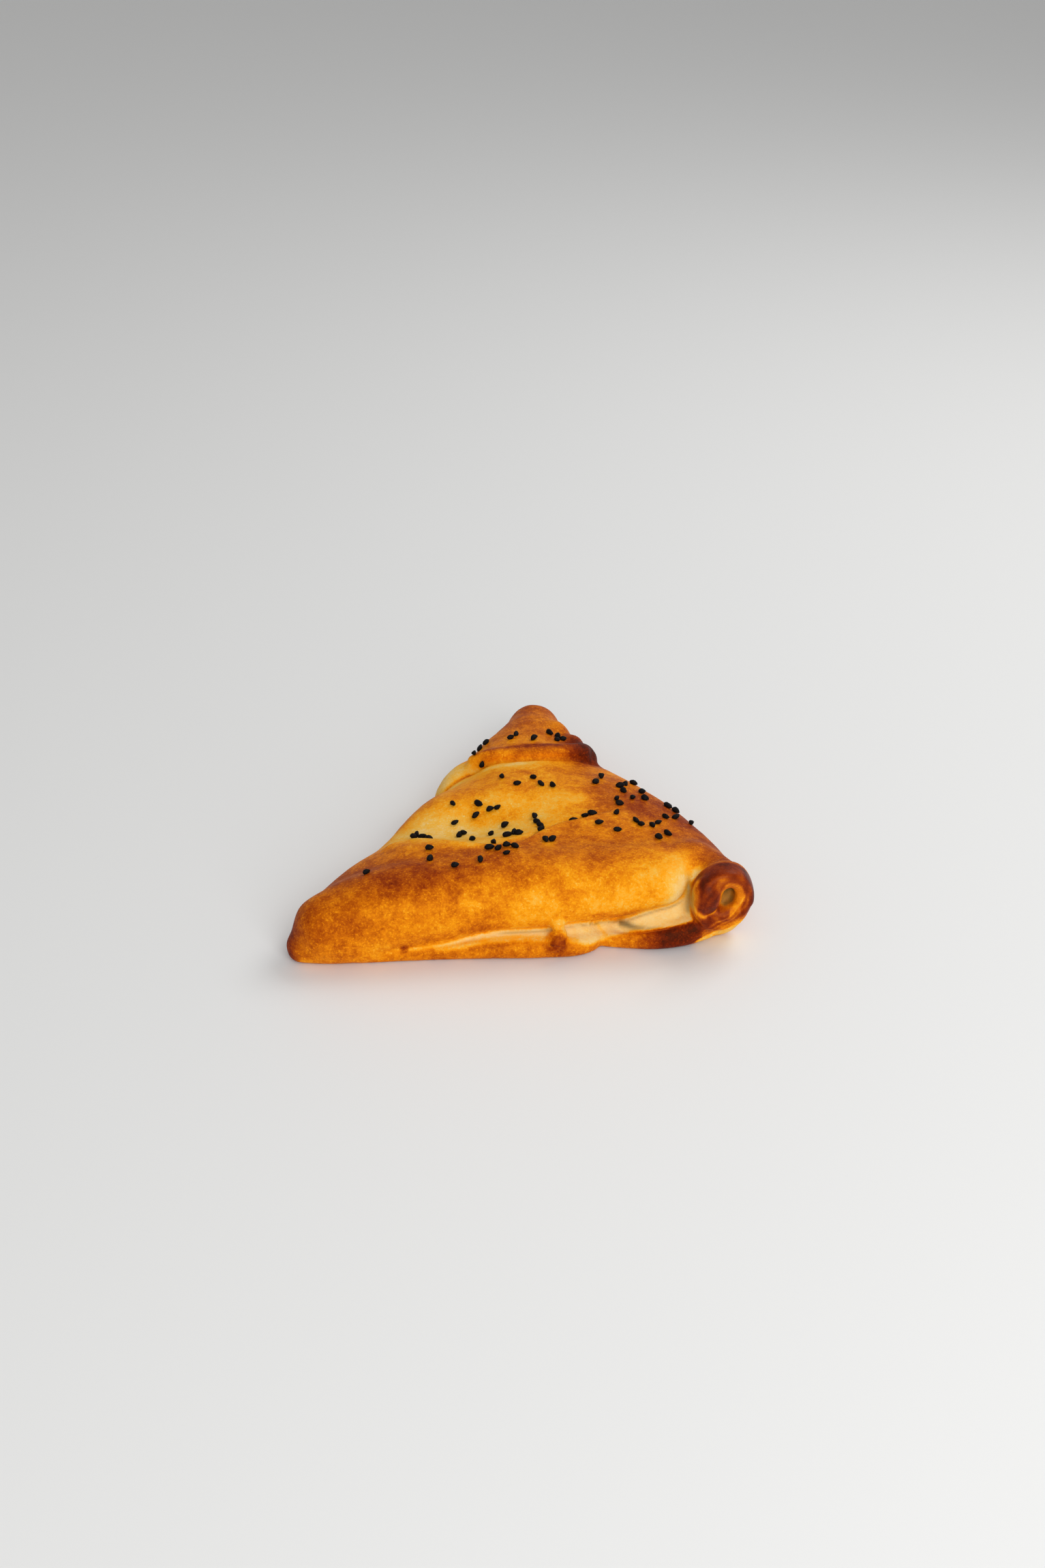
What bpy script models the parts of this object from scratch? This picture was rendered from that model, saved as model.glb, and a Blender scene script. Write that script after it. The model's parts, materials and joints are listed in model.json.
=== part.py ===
"""Turnover pastry: one triangle of bread dough, folded over, rolled along two edges and baked.

The seam edge runs along +X at the front, from the rounded left tip to the scroll where the
rolled right edge ends; the folded back tip points along +Y.  It rests on its flat base at z = 0,
with the origin in the middle of its outline.  One piece of dough, so one solid.
"""
import math

import bmesh
import bpy
from mathutils import Matrix, Vector

# Driving dimensions, in metres.
LENGTH = 0.1654           # left tip to the outside of the scroll
MM = LENGTH / 165.4       # one design millimetre: places and radii below keep their proportion to LENGTH
NAME = "pastry"

# All values from here on are in design millimetres.
SHEET = 3.7               # the dough sheet that shows edge-on in the scroll
VOXEL = 0.9               # the folds melt together at this grain
SMOOTHING = 5             # rounds of smoothing after that
SLIVER = 0.02             # points nearer than this to the base's plane are put on it
WELD = 0.0001             # caps are welded to their tubes at this distance
TRIANGLES = 9000          # the melted skin is thinned to about this many

# How finely the shapes that melt together are cut: round and along.
BLOB_SEGMENTS = 32
BLOB_RINGS = 18
ROLL_BEVEL = 6
ROLL_STEPS = 8
RIBBON_STEPS = 40

# Body and hat: (centre, radii) of the rounded corners that each is stretched over.
BODY = (((-72, -65, 11), (11, 10.5, 11.8)),
        ((59, -48, 14.7), (14.5, 14.5, 15.5)),
        ((21, 31, 12.6), (12, 12, 13.4)))
HAT = (((-6, 31, 12.0), (11, 11, 12.8)),
       ((28, 31, 12.0), (9.5, 9.5, 12.8)),
       ((17.2, 69, 10.9), (10.2, 10.2, 11.7)))

# Rolls and lips: (x, y, z, radius) along each, and the height of its section over its width.
FRONT_ROLL = ((-75, -68.5, 11, 9.5), (-68, -66.5, 12, 13), (-54, -62.5, 13.6, 16), (-32, -59, 16.6, 17.3),
              (-2, -58, 18.6, 16.2), (24, -58, 19.6, 15.2), (42, -58.5, 21.4, 13), (54, -60, 24, 9))
TIP_ROLL = ((-76, -71, 6.4, 8), (-64, -69.5, 6.6, 9.6), (-46, -67.5, 7, 9))
FRONT_LIP = ((-54, -67, 2.3, 4.5), (-34, -69.5, 3.4, 6), (-12, -70, 3.6, 6.5), (6, -71, 3.6, 6.5),
             (19, -70, 3.3, 5.8), (25, -68.5, 3, 4))
DARK_LIP = ((28, -68.5, 2.4, 3), (36, -71, 3, 4.4), (48, -71.5, 4, 5.6), (60, -70.5, 5.4, 5.6),
            (68, -67.5, 7.2, 4.6))
POCKET = ((26, -63, 5, 6), (42, -63, 9, 7), (54, -62, 12, 7))
RIGHT_ROLL = ((64.5, -55, 17.6, 13), (59, -44, 16.8, 12.6), (50, -22, 15.6, 11.8), (41, -2, 14.6, 11.4),
              (33, 12, 13.6, 10.2))
HAT_RIM = ((-17, 27, 19, 3.6), (-5, 19.5, 24, 4.4), (11, 15, 26.2, 4.7), (25, 15.5, 25, 4.8),
           (31, 18, 22, 4.8))
PINCH = ((12.8, -71.5, 14.8, 2.2), (12.4, -74.5, 10, 2.6), (11.6, -75.6, 5.6, 3.7), (11.2, -74, 2, 3.4))
ROLL_FLATNESS = 0.8
LIP_FLATNESS = 0.72

# Scroll: two turns of the sheet round one centre, an outer ring that ends in the tongue, and a curl.
SCROLL_CENTRE = (69.6, -71, 18.2)
RING_RADII = (9.8, 12.4)
RING_TURN = (-112, 205)   # degrees from +X, over the top
RING_CLOSING = 0.06       # how much tighter the ring is at its end than at its start
CURL_RADII = (5.6, 8.2)
CURL_TURN = (-125, 118)
CURL_CLOSING = 0.0
RING_WIDTH = 11
CURL_WIDTH = 9
SCROLL_SWEEP = 0.14       # how far the scroll's face turns back per millimetre to the right

# Blisters and bulges: (centre, radii, turn about +Z in degrees).
TONGUE = ((63.6, -71, 20.6), (5.6, 4.6, 9.2), 0)
KNOB = ((33, 27, 18), (6, 9.5, 6.5), 15)
EAR = ((-18, 19, 11), (12, 21, 11.5), -31)

CRUST_COLOUR = (0.62, 0.27, 0.045, 1)
CRUST_ROUGHNESS = 0.5


def clear_scene():
    for obj in list(bpy.data.objects):
        bpy.data.objects.remove(obj, do_unlink=True)


def blob(bm, centre, radii, turn=0):
    """Adds a UV sphere stretched to three radii and turned about +Z."""
    shape = (Matrix.Translation(Vector(centre)) @ Matrix.Rotation(math.radians(turn), 4, "Z")
             @ Matrix.Diagonal((*radii, 1)))
    bmesh.ops.create_uvsphere(bm, u_segments=BLOB_SEGMENTS, v_segments=BLOB_RINGS, radius=1, matrix=shape)


def stretched(bm, corners):
    """Dough stretched over rounded corners: the convex hull of their blobs."""
    shell = bmesh.new()
    for centre, radii in corners:
        blob(shell, centre, radii)
    hull = bmesh.ops.convex_hull(shell, input=shell.verts)
    bmesh.ops.delete(shell, geom=hull["geom_interior"], context="VERTS")
    add_mesh(bm, shell)


def add_mesh(bm, extra):
    """Copies one bmesh into another, and frees the copied one."""
    mesh = bpy.data.meshes.new("extra")
    extra.to_mesh(mesh)
    extra.free()
    bm.from_mesh(mesh)
    bpy.data.meshes.remove(mesh)


def curve_mesh(curve, matrix, thickness=None):
    """The mesh of a curve, placed by the matrix and given the thickness if there is one, as a bmesh."""
    obj = bpy.data.objects.new("guide", curve)
    bpy.context.scene.collection.objects.link(obj)
    obj.matrix_world = matrix
    if thickness:
        solidify = obj.modifiers.new("sheet", "SOLIDIFY")
        solidify.thickness = thickness
        solidify.offset = 0
    bpy.context.view_layer.update()
    evaluated = obj.evaluated_get(bpy.context.evaluated_depsgraph_get())
    mesh = bpy.data.meshes.new_from_object(evaluated)
    result = bmesh.new()
    result.from_mesh(mesh)
    bmesh.ops.remove_doubles(result, verts=result.verts, dist=WELD)
    bmesh.ops.transform(result, matrix=matrix, verts=result.verts)
    bpy.data.objects.remove(obj)
    bpy.data.meshes.remove(mesh)
    return result


def roll(bm, stations, flatness=1.0):
    """A tapered roll of dough: a bevelled curve through the stations, flattened in height, with round
    ends."""
    curve = bpy.data.curves.new("roll", "CURVE")
    curve.dimensions = "3D"
    curve.bevel_depth = 1
    curve.bevel_resolution = ROLL_BEVEL
    curve.resolution_u = ROLL_STEPS
    curve.use_fill_caps = True
    spline = curve.splines.new("BEZIER")
    spline.bezier_points.add(len(stations) - 1)
    for point, (x, y, z, radius) in zip(spline.bezier_points, stations):
        point.co = (x, y, z / flatness)
        point.handle_left_type = point.handle_right_type = "AUTO"
        point.radius = radius
    squash = Matrix.Diagonal((1, 1, flatness, 1))
    add_mesh(bm, curve_mesh(curve, squash))
    for x, y, z, radius in (stations[0], stations[-1]):
        blob(bm, (x, y, z), (radius, radius, radius * flatness))


def ribbon(bm, radii, turn, closing, width):
    """A sheet of dough on its edge round the scroll's centre: an extruded and solidified spiral."""
    curve = bpy.data.curves.new("ribbon", "CURVE")
    curve.dimensions = "2D"
    curve.fill_mode = "NONE"
    curve.extrude = width / 2
    spline = curve.splines.new("POLY")
    spline.points.add(RIBBON_STEPS)
    for i, point in enumerate(spline.points):
        along = i / RIBBON_STEPS
        angle = math.radians(turn[0] + along * (turn[1] - turn[0]))
        reach = 1 - closing * along
        point.co = (radii[0] * reach * math.cos(angle), radii[1] * reach * math.sin(angle), 0, 1)
    upright = Matrix.Translation(Vector(SCROLL_CENTRE)) @ Matrix.Rotation(math.pi / 2, 4, "X")
    sheet = curve_mesh(curve, upright, SHEET)
    for vert in sheet.verts:
        vert.co.y += SCROLL_SWEEP * (vert.co.x - SCROLL_CENTRE[0] + RING_RADII[0])
    add_mesh(bm, sheet)


def folded_dough():
    """Every fold, roll and lip as closed shells that overlap, in one bmesh in design millimetres."""
    bm = bmesh.new()
    stretched(bm, BODY)
    stretched(bm, HAT)
    roll(bm, FRONT_ROLL, ROLL_FLATNESS)
    roll(bm, TIP_ROLL, ROLL_FLATNESS)
    roll(bm, FRONT_LIP, LIP_FLATNESS)
    roll(bm, DARK_LIP, LIP_FLATNESS)
    roll(bm, POCKET)
    roll(bm, RIGHT_ROLL)
    roll(bm, HAT_RIM, ROLL_FLATNESS)
    roll(bm, PINCH)
    ribbon(bm, RING_RADII, RING_TURN, RING_CLOSING, RING_WIDTH)
    ribbon(bm, CURL_RADII, CURL_TURN, CURL_CLOSING, CURL_WIDTH)
    for bulge in (TONGUE, KNOB, EAR):
        blob(bm, *bulge)
    bmesh.ops.recalc_face_normals(bm, faces=bm.faces)
    return bm


def evaluated_mesh(obj):
    bpy.context.view_layer.update()
    return bpy.data.meshes.new_from_object(obj.evaluated_get(bpy.context.evaluated_depsgraph_get()))


def melted(bm):
    """The overlapping folds as one skin: a voxel remesh, smoothed and thinned to TRIANGLES."""
    mesh = bpy.data.meshes.new("folds")
    bm.to_mesh(mesh)
    bm.free()
    obj = bpy.data.objects.new("folds", mesh)
    bpy.context.scene.collection.objects.link(obj)
    remesh = obj.modifiers.new("melt", "REMESH")
    remesh.mode = "VOXEL"
    remesh.voxel_size = VOXEL
    smooth = obj.modifiers.new("soften", "SMOOTH")
    smooth.iterations = SMOOTHING
    triangulate = obj.modifiers.new("triangles", "TRIANGULATE")
    triangulate.quad_method = "BEAUTY"
    fine = evaluated_mesh(obj)
    thin = obj.modifiers.new("thin", "DECIMATE")
    thin.ratio = TRIANGLES / len(fine.polygons)
    thin.use_collapse_triangulate = True
    result = bmesh.new()
    result.from_mesh(evaluated_mesh(obj))
    bpy.data.objects.remove(obj)
    return result


def cut_base(bm):
    """Cuts the soft underside flat at z = 0 and closes it."""
    geometry = bm.verts[:] + bm.edges[:] + bm.faces[:]
    bmesh.ops.bisect_plane(bm, geom=geometry, dist=SLIVER, plane_co=(0, 0, 0), plane_no=(0, 0, 1),
                           clear_inner=True)
    for vert in bm.verts:
        if vert.co.z < SLIVER:
            vert.co.z = 0
    bmesh.ops.holes_fill(bm, edges=[edge for edge in bm.edges if edge.is_boundary])
    bmesh.ops.triangulate(bm, faces=[face for face in bm.faces if len(face.verts) > 3])


def centre_outline(bm):
    """Moves the middle of the outline to the origin and goes from design millimetres to metres."""
    spans = [[vert.co[axis] for vert in bm.verts] for axis in range(2)]
    middle = [(min(span) + max(span)) / 2 for span in spans]
    bmesh.ops.translate(bm, verts=bm.verts, vec=(-middle[0], -middle[1], 0))
    bmesh.ops.scale(bm, verts=bm.verts, vec=(MM, MM, MM))


def crust_material():
    material = bpy.data.materials.new("crust")
    material.use_nodes = True
    shader = material.node_tree.nodes["Principled BSDF"]
    shader.inputs["Base Color"].default_value = CRUST_COLOUR
    shader.inputs["Roughness"].default_value = CRUST_ROUGHNESS
    shader.inputs["Metallic"].default_value = 0
    return material


def main():
    clear_scene()
    dough = melted(folded_dough())
    cut_base(dough)
    centre_outline(dough)
    mesh = bpy.data.meshes.new(NAME)
    dough.to_mesh(mesh)
    dough.free()
    mesh.shade_smooth()
    mesh.materials.append(crust_material())
    pastry = bpy.data.objects.new(NAME, mesh)
    collection = bpy.data.collections.new("turnover_pastry")
    bpy.context.scene.collection.children.link(collection)
    collection.objects.link(pastry)


main()
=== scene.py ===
# %% [markdown]
# # A turnover pastry, folded and rolled from one sheet of dough
#
# This notebook models a hand-made turnover: a triangle of bread dough with a fat rolled front edge,
# a scroll where the rolled right edge ends, and a folded "hat" at the back tip, scattered with
# nigella seeds.  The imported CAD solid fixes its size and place; here it gets its real surface.

# %% Load the fixed frame
import math

import bmesh
import bpy
import json
import numpy as np
from mathutils import Matrix, Vector
from mathutils.bvhtree import BVHTree

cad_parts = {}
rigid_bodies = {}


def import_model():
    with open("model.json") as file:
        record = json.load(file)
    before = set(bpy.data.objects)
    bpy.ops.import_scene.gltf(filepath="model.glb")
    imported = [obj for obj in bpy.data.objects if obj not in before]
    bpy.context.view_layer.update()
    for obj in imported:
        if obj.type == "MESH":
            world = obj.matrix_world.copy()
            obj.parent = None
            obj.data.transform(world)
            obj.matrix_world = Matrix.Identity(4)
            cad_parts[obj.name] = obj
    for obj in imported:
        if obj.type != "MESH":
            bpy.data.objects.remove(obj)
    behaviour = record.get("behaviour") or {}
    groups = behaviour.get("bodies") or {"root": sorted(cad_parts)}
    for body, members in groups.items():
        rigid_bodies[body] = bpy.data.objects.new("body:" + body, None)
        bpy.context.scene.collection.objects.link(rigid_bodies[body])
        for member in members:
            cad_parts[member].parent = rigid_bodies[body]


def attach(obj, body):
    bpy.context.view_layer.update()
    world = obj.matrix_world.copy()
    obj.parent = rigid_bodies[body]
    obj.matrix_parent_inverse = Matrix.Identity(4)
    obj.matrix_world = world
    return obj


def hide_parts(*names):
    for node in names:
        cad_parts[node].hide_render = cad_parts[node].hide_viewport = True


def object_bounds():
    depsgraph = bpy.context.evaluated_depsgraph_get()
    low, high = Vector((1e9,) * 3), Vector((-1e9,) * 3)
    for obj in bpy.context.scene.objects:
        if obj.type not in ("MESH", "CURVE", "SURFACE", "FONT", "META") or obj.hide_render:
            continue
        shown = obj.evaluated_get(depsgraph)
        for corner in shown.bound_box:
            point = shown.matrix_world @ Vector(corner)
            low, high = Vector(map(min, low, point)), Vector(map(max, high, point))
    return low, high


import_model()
cad_low, cad_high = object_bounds()
print("CAD box in mm:", [round(1000 * side, 1) for side in cad_high - cad_low])

# %% [markdown]
# ## One millimetre, and where the pastry stands
#
# All shapes below are written in millimetres around the middle of the pastry's base, because dough is
# easy to picture at that scale.  The frame says how long the real part is, so one design millimetre is
# a share of the frame's length, and the base's middle is the middle of the frame's box.

# %% The design's millimetre
DESIGN_LENGTH = 165.4
MM = (cad_high.x - cad_low.x) / DESIGN_LENGTH
BASE_MIDDLE = np.array([(cad_low.x + cad_high.x) / 2, (cad_low.y + cad_high.y) / 2, cad_low.z])
print("one design millimetre is", round(MM * 1000, 4), "mm")

# %% [markdown]
# ## Small tools for surfaces
#
# Dough has no straight lines, so every outline and every roll here is a smooth curve through a few
# chosen places.  A Catmull-Rom curve is used because it passes through its points, so a place that is
# written down is a place on the pastry.  Each surface is a grid: one row per section, one column per
# place around it, and the same function skins every such grid with quads.


# %% Curves through chosen places
def soft_step(start, end, value):
    """0 before start, 1 after end, and 3t^2 - 2t^3 between them."""
    t = np.clip((value - start) / (end - start), 0, 1)
    return t * t * (3 - 2 * t)


def bell(value, centre, width):
    """exp(-((value - centre) / width)^2): 1 at the centre, fading out over the width."""
    return np.exp(-(((value - centre) / width) ** 2))


def loop_through(places, count):
    """A closed Catmull-Rom curve: count rows of the mix of four neighbouring places at each step."""
    places = np.asarray(places, float)
    step = np.arange(count) * len(places) / count
    index = step.astype(int)
    t = (step - index)[:, None]
    a, b, c, d = (places[(index + shift) % len(places)] for shift in (-1, 0, 1, 2))
    return 0.5 * (2 * b + (c - a) * t + (2 * a - 5 * b + 4 * c - d) * t**2 + (3 * b - a - 3 * c + d) * t**3)


def curve_through(places, count):
    """An open curve through the places, evenly spread by length: cubic Hermite pieces whose slope at
    each place is the line between its two neighbours."""
    places = np.asarray(places, float)
    gaps = np.linalg.norm(np.diff(places[:, :3], axis=0), axis=1)
    knots = np.concatenate([[0], np.cumsum(gaps)])
    at = knots[-1] * np.linspace(0, 1, count)
    piece = np.clip(np.searchsorted(knots, at, side="right") - 1, 0, len(knots) - 2)
    slope = np.gradient(places, knots, axis=0)
    h = gaps[piece][:, None]
    t = ((at - knots[piece])[:, None]) / h
    return ((2 * t**3 - 3 * t**2 + 1) * places[piece] + (t**3 - 2 * t**2 + t) * h * slope[piece]
            + (3 * t**2 - 2 * t**3) * places[piece + 1] + (t**3 - t**2) * h * slope[piece + 1])


def rounded(angle, power):
    """Cosine and sine with |value|^(2 / power): a circle at power 2, squarer above it."""
    cosine, sine = np.cos(angle), np.sin(angle)
    return (np.sign(cosine) * np.abs(cosine) ** (2 / power), np.sign(sine) * np.abs(sine) ** (2 / power))


AROUND = np.linspace(0, 2 * np.pi, 56, endpoint=False)
print("sections have", len(AROUND), "points")


# %% Skin a grid of sections
def skin(name, grid):
    """A closed mesh object from rows of points: quads between rows, a fan to the middle of each end row."""
    rows, around, _ = grid.shape
    points = np.concatenate([grid.reshape(-1, 3), grid[:1].mean(axis=1), grid[-1:].mean(axis=1)])
    corner = np.arange((rows - 1) * around).reshape(rows - 1, around)
    beside = np.roll(corner, -1, axis=1)
    quads = np.stack([corner, beside, beside + around, corner + around], axis=-1).reshape(-1, 4)
    rim, rim_next = np.arange(around), np.roll(np.arange(around), -1)
    first = np.stack([rim_next, rim, np.full(around, rows * around)], axis=-1)
    last = np.stack([rim, rim_next, np.full(around, rows * around + 1)], axis=-1)
    last[:, :2] += (rows - 1) * around
    mesh = bpy.data.meshes.new(name)
    mesh.from_pydata((points * MM + BASE_MIDDLE).tolist(), [], quads.tolist() + first.tolist() + last.tolist())
    shell = bmesh.new()
    shell.from_mesh(mesh)
    bmesh.ops.recalc_face_normals(shell, faces=shell.faces)
    shell.to_mesh(mesh)
    shell.free()
    piece = bpy.data.objects.new(name, mesh)
    bpy.context.scene.collection.objects.link(piece)
    return piece


dough = []
print("ready to skin", "sections")

# %% [markdown]
# ## The body: a puffed triangle
#
# The body is a pillow on a triangular outline.  A superellipse section makes it: near its rim the
# surface curls over quickly, and the top is almost flat, as dough puffs between its folds.  The
# outline is one closed curve; each of its places also says how high the widest line runs there.

# %% Outline and top of the body
OUTLINE = (
    (9, -69, 15), (44, -68, 17), (64, -65, 17), (77, -58, 15), (77.2, -45, 14), (69, -22.5, 13), (58, 0.5, 12.5),
    (47, 18, 12), (39, 33, 11), (30, 55, 11), (21.5, 66, 11), (12, 66, 11), (-3, 46, 11), (-11, 25.5, 11),
    (-21.5, 12, 11), (-33.5, 0, 11.5), (-48, -23, 12), (-64.5, -42, 12), (-76, -58, 11), (-79, -68, 11), (-62, -72, 12), (-26, -70, 14),
)
BODY_MIDDLE = np.array([4, -33])
BODY_HEIGHT = 30.0
TOP_POWER = 3.0           # superellipse powers of the upper and lower half
UNDER_POWER = 6.0
BASE_SAG = 0.8            # the soft base is pressed this far past the table before it is cut flat


def top_height(x, y):
    """The puffed top: a level, less a fall to the back, to the left tip and into the valley."""
    fall_back = 5.5 * soft_step(-14, 50, y)
    fall_left = 6.0 * soft_step(-26, -76, x)
    valley = 4.5 * np.exp(-(((x + 15) / 30) ** 2) - ((y + 24) / 12) ** 2)
    shoulder = 0.8 * np.exp(-(((x - 46) / 20) ** 2) - ((y + 33) / 22) ** 2)
    return BODY_HEIGHT - fall_back - fall_left - valley + shoulder


def body_surface(around=220, rows=100):
    """For angle v from the top pole: outline shrunk to the middle by sin(v)^(2/p), height from the
    widest line to the top, or down to the base, by |cos(v)|^(2/p)."""
    rim = loop_through(OUTLINE, around)
    v = np.linspace(0.004, np.pi - 0.004, rows)
    power = np.where(v < np.pi / 2, TOP_POWER, UNDER_POWER)
    reach = np.sin(v) ** (2 / power)
    lift = np.abs(np.cos(v)) ** (2 / power)
    plan = BODY_MIDDLE + reach[:, None, None] * (rim[None, :, :2] - BODY_MIDDLE)
    waist = rim[None, :, 2]
    up = waist + (top_height(plan[..., 0], plan[..., 1]) - waist) * lift[:, None]
    down = waist - (waist + BASE_SAG) * lift[:, None]
    return np.concatenate([plan, np.where(v[:, None] < np.pi / 2, up, down)[..., None]], axis=-1)


dough.append(skin("body", body_surface()))
print("body:", len(dough[-1].data.vertices), "points")

# %% [markdown]
# ## Rolls and lips: sections carried along a path
#
# A rolled edge is a fat, tapering sausage.  Each is an upright oval section carried along a curve, with
# its half width and half height written beside each place, and both ends drawn in along a quarter
# circle so that they close like a thumb.


# %% A roll of dough
def roll_surface(places, power=2.2, ends=(1, 1), rows=150, around=AROUND):
    """Centre line c(s) plus side(s) * width(s) * cos and over(s) * height(s) * sin of the rounded
    section; near an end the section shrinks by sqrt(1 - (1 - d / r)^2), d being the way to the end."""
    places = np.asarray(places, float)
    fine = curve_through(places, rows)
    line, half = fine[:, :3], fine[:, 3:5]
    gone = np.concatenate([[0], np.cumsum(np.linalg.norm(np.diff(line, axis=0), axis=1))])
    taper = np.ones(rows)
    for way, end, radius in ((gone, ends[0], places[0, 3]), (gone[-1] - gone, ends[1], places[-1, 3])):
        short = np.clip(way / (end * radius), 0.0005, 1)
        taper = taper * np.sqrt(1 - (1 - short) ** 2)
    along = np.gradient(line, axis=0)
    along /= np.linalg.norm(along, axis=1)[:, None]
    side = np.cross([0, 0, 1.0], along)
    side /= np.linalg.norm(side, axis=1)[:, None]
    over = np.cross(along, side)
    across, upward = rounded(around, power)
    width, height = (half * taper[:, None]).T[:, :, None, None]
    return line[:, None] + side[:, None] * width * across[None, :, None] + over[:, None] * height * upward[None, :, None]


# Places along each roll: x, y, z, half width, half height.
FRONT_ROLL = (
    (-80, -69, 8.8, 7.6, 8.2), (-72.5, -67.2, 10.7, 10.6, 10.4), (-57, -63, 13.4, 14.4, 13.3),
    (-33, -59.6, 16, 16.4, 14.1), (0, -58, 18.1, 16.6, 13.3), (25, -58, 19.3, 16.4, 12.3),
    (42, -58.6, 21.3, 15.4, 10.3), (54, -59.2, 23.2, 14, 8.4), (62, -60, 24.6, 10.5, 6.4),
)
TIP_ROLL = ((-84, -66.9, 4.8, 5.8, 5.2), (-70, -68.2, 5.6, 7.6, 6.4), (-48, -68.2, 7, 8.5, 7.5))
FRONT_LIP = (
    (-64, -68, 1.8, 6.4, 2.4), (-52, -68, 2.6, 6.6, 3.6), (-34, -68.6, 3.4, 6.4, 4.4), (-12, -69.4, 3.6, 6.9, 4.3),
    (7, -70.9, 3.6, 6.8, 4),
    (21, -69.8, 3.4, 6.4, 4), (28, -67.2, 3.2, 4, 3.6),
)
DARK_LIP = ((26, -68, 2.8, 3.6, 2.6), (36, -69.9, 3.4, 4.2, 3.4), (49, -70.8, 4, 5.2, 4.2), (61, -70, 6, 5.2, 5),
            (71, -68, 9, 4.6, 5))
SEAM_FLOOR = ((-52, -66, 4, 6, 4), (-34, -66.6, 5, 6, 5), (-12, -66.4, 5.4, 6, 6), (8, -66.8, 5.4, 6, 6.4), (27, -65.6, 5.4, 6, 7))
POCKET_FLOOR = ((27, -63.5, 5, 6, 7), (45, -63, 8, 6, 8), (59, -61.5, 11, 6, 9))
PINCH = ((12.6, -71.6, 15, 3.4, 2.4), (12.2, -74, 12.2, 3.2, 2.6), (11.6, -74.8, 8, 3.4, 3.4), (11.2, -74.2, 4.4, 3.2, 3.2))
RIGHT_ROLL = ((71.2, -69.4, 18.2, 10.6, 12.2), (70, -62, 17.4, 9.8, 11.6), (66.6, -51, 15.8, 8.8, 11.2), (62, -40, 15, 8.6, 10.6))

ROLLS = {
    "front_roll": (FRONT_ROLL, {}), "tip_roll": (TIP_ROLL, {}), "front_lip": (FRONT_LIP, {"power": 2.6}),
    "dark_lip": (DARK_LIP, {"power": 2.4}), "pocket_floor": (POCKET_FLOOR, {}), "seam_floor": (SEAM_FLOOR, {}),
    "pinch": (PINCH, {}), "right_roll": (RIGHT_ROLL, {"ends": (0.2, 1)}),
}
for name, (places, options) in ROLLS.items():
    dough.append(skin(name, roll_surface(places, **options)))
print("rolls:", ", ".join(ROLLS))

# %% [markdown]
# ## The scroll: a sheet on its edge
#
# Where the rolled right edge ends, the sheet shows edge-on as a scroll: an outer turn that runs up from
# the dark lip and over the top, an inner turn round a little hollow, and a tongue that hangs down on
# the left.  Each turn is a rounded bar carried round an ellipse, the inner one set back a little.

# %% Outer and inner turn
SCROLL_SWEEP = 0.14        # the scroll's face turns back by this much per millimetre to the right


def turn_surface(middle, radii, thick, width, start, end, rows=150, around=AROUND, power=3.0):
    """A rounded bar carried round an ellipse from the start to the end angle in degrees: thick is its
    thickness at the right and how much is added at the top; its y goes back with x by the sweep."""
    angle = np.radians(np.linspace(start, end, rows))[:, None]
    thickness = thick[0] + thick[1] * np.sin(angle)
    gone = np.linspace(0, 1, rows)[:, None]
    taper = np.sqrt(1 - (1 - np.clip(np.minimum(gone, 1 - gone) / 0.04, 0.001, 1)) ** 2)
    across, deep = rounded(around, power)
    reach = thickness / 2 * taper * across
    x = (radii[0] + reach) * np.cos(angle)
    z = (radii[1] + reach) * np.sin(angle)
    y = SCROLL_SWEEP * (x + radii[0]) + width / 2 * taper * deep
    return np.asarray(middle) + np.stack([x, y, z], axis=-1)


OUTER_TURN = {"middle": (70.7, -71, 18.9), "radii": (9.1, 10.4), "thick": (4.5, 0.2), "width": 11, "start": -110, "end": 290}
INNER_TURN = {"middle": (72.4, -69.8, 21), "radii": (4.2, 5.4), "thick": (3.5, 0.8), "width": 11, "start": -100, "end": 190}
for name, shape in (("outer_turn", OUTER_TURN), ("inner_turn", INNER_TURN)):
    dough.append(skin(name, turn_surface(**shape)))
print("scroll: an outer and an inner turn")


# %% Round bulges
def bulge_surface(middle, radii, turn=0.0, rows=36, around=AROUND):
    """An ellipsoid: radii times the unit sphere, turned about z in degrees and moved to its middle."""
    v = np.linspace(0.01, np.pi - 0.01, rows)[:, None]
    ball = np.stack([np.sin(v) * np.cos(around), np.sin(v) * np.sin(around), np.cos(v) + 0 * around], axis=-1)
    cosine, sine = math.cos(math.radians(turn)), math.sin(math.radians(turn))
    spin = np.array([[cosine, sine, 0], [-sine, cosine, 0], [0, 0, 1]])
    return ball * np.asarray(radii) @ spin + np.asarray(middle)


BULGES = {
    "tongue": ((64.5, -73.4, 22.2), (5.4, 5.2, 7.6), 0),
    "scroll_floor": ((71.5, -61.5, 18), (9, 5, 10), 0),
    "scroll_under": ((68.6, -65.5, 11.4), (11.8, 6, 11.8), 0),
    "scroll_band": ((71, -71.2, 13), (7, 4.4, 3.2), 0),
    "nub": ((11.4, -75.6, 7.2), (3.5, 3.3, 4.1), 0),
    "shoulder": ((62, -54, 17), (13, 15, 13.5), 20),
    "knob": ((33.5, 31, 19), (5.8, 7.5, 6.4), 15),
    "knob_back": ((29.5, 39, 19), (6, 7.5, 5.6), 15),
    "hat_fold": ((24.5, 49, 18.5), (6.2, 11, 6.5), 15),
    "ear": ((-12.7, 25.4, 10.5), (9.3, 19.4, 10.2), -34),
}
for name, (middle, radii, turn) in BULGES.items():
    dough.append(skin(name, bulge_surface(middle, radii, turn)))
print("bulges:", ", ".join(BULGES))

# %% [markdown]
# ## The hat: the folded back tip
#
# The back corner is folded over once more, so a fatter cone sits on the body with a rolled brim.

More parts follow.
